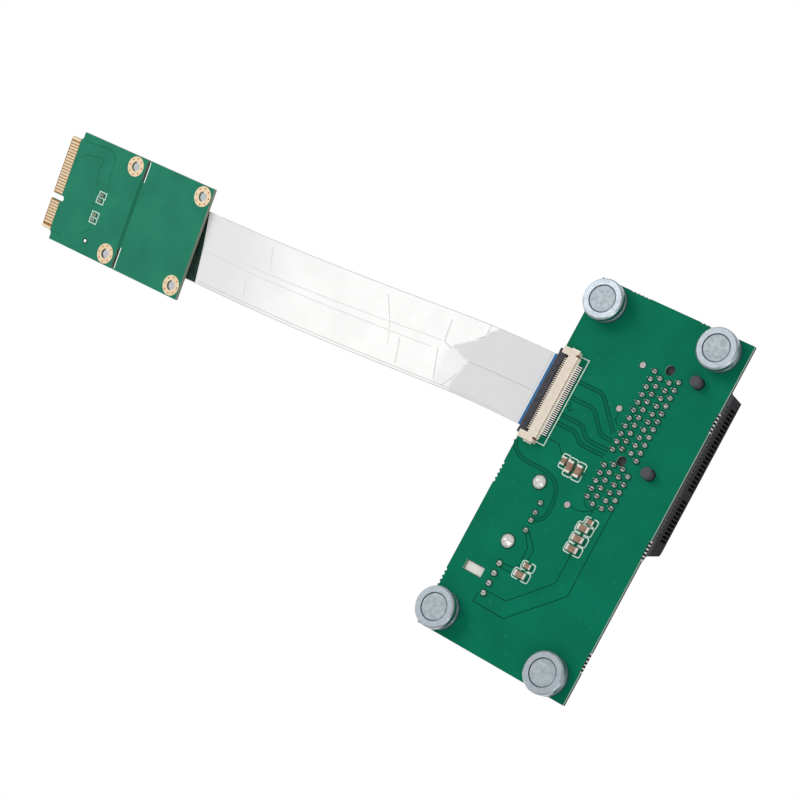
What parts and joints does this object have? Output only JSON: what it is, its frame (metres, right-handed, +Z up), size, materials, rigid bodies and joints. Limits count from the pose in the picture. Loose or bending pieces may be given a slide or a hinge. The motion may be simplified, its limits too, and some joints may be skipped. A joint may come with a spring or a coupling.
{
  "type": "notebook card slot to expansion slot adapter",
  "caption": "Adapter with a small gold-fingered card, a foil-wrapped flat cable and a slot board on magnetic feet, seen solder side up.",
  "frame": {"origin": "under the middle of the rigid pieces' box, on the surface that they rest on", "axes": "+X along the cable towards the slot's mouth, +Y along the slot board's long side, +Z up from the surface, out of the solder side"},
  "size_m": [0.201, 0.0912, 0.0129],
  "materials": {
    "board_laminate": "green solder mask over glass laminate",
    "card_laminate": "green solder mask over glass laminate",
    "black_nylon": "moulded, satin",
    "tinned_metal": "bright tin",
    "gold_plate": "gold over nickel",
    "nickel_shell": "nickel plated",
    "white_nylon": "moulded, satin",
    "beige_polymer": "moulded, satin",
    "lever_polymer": "moulded, satin",
    "cable_foil": "foil under clear film",
    "blue_film": "smooth film",
    "zinc_steel": "zinc plated, turned",
    "magnet_nickel": "nickel plated, satin",
    "ceramic_brown": "fired, satin"
  },
  "bodies": {
    "adapter": {"board_connector_anchors": "tinned_metal", "board_connector_contacts": "tinned_metal", "board_connector_housing": "beige_polymer", "cable_stiffener_board": "blue_film", "cable_stiffener_card": "blue_film", "capacitor_bodies": "ceramic_brown", "capacitor_ends": "tinned_metal", "card_board": "card_laminate", "card_chip_bodies": "ceramic_brown", "card_chip_ends": "tinned_metal", "card_connector_anchors": "tinned_metal", "card_connector_contacts": "tinned_metal", "card_connector_housing": "beige_polymer", "card_fingers": "gold_plate", "card_ring_pads": "gold_plate", "flat_cable": "cable_foil", "foot_cup_1": "zinc_steel", "foot_cup_2": "zinc_steel", "foot_cup_3": "zinc_steel", "foot_cup_4": "zinc_steel", "foot_magnet_1": "magnet_nickel", "foot_magnet_2": "magnet_nickel", "foot_magnet_3": "magnet_nickel", "foot_magnet_4": "magnet_nickel", "foot_screw_1": "zinc_steel", "foot_screw_2": "zinc_steel", "foot_screw_3": "zinc_steel", "foot_screw_4": "zinc_steel", "main_board": "board_laminate", "power_header": "white_nylon", "power_pins": "tinned_metal", "power_solder": "tinned_metal", "slot_contacts_far": "gold_plate", "slot_contacts_near": "gold_plate", "slot_housing": "black_nylon", "slot_solder": "tinned_metal", "test_pads": "tinned_metal", "usb_contacts": "gold_plate", "usb_leg_solder": "tinned_metal", "usb_shell": "nickel_shell", "usb_solder": "tinned_metal", "usb_tongue": "white_nylon"},
    "board_lock": {"board_connector_lever": "lever_polymer"},
    "card_lock": {"card_connector_lever": "lever_polymer"}
  },
  "joints": [
    {"name": "board_lock_hinge", "type": "hinge", "parent": "adapter", "child": "board_lock", "pos_m": [0.06086, 0.0152, 0.01045], "axis": [0, 1, 0], "range_deg": [0, 90]},
    {"name": "card_lock_hinge", "type": "hinge", "parent": "adapter", "child": "card_lock", "pos_m": [-0.05736, 0.00996, 0.00314], "axis": [-0.0281, 0.9752, 0.2197], "range_deg": [0, 90]}
  ]
}
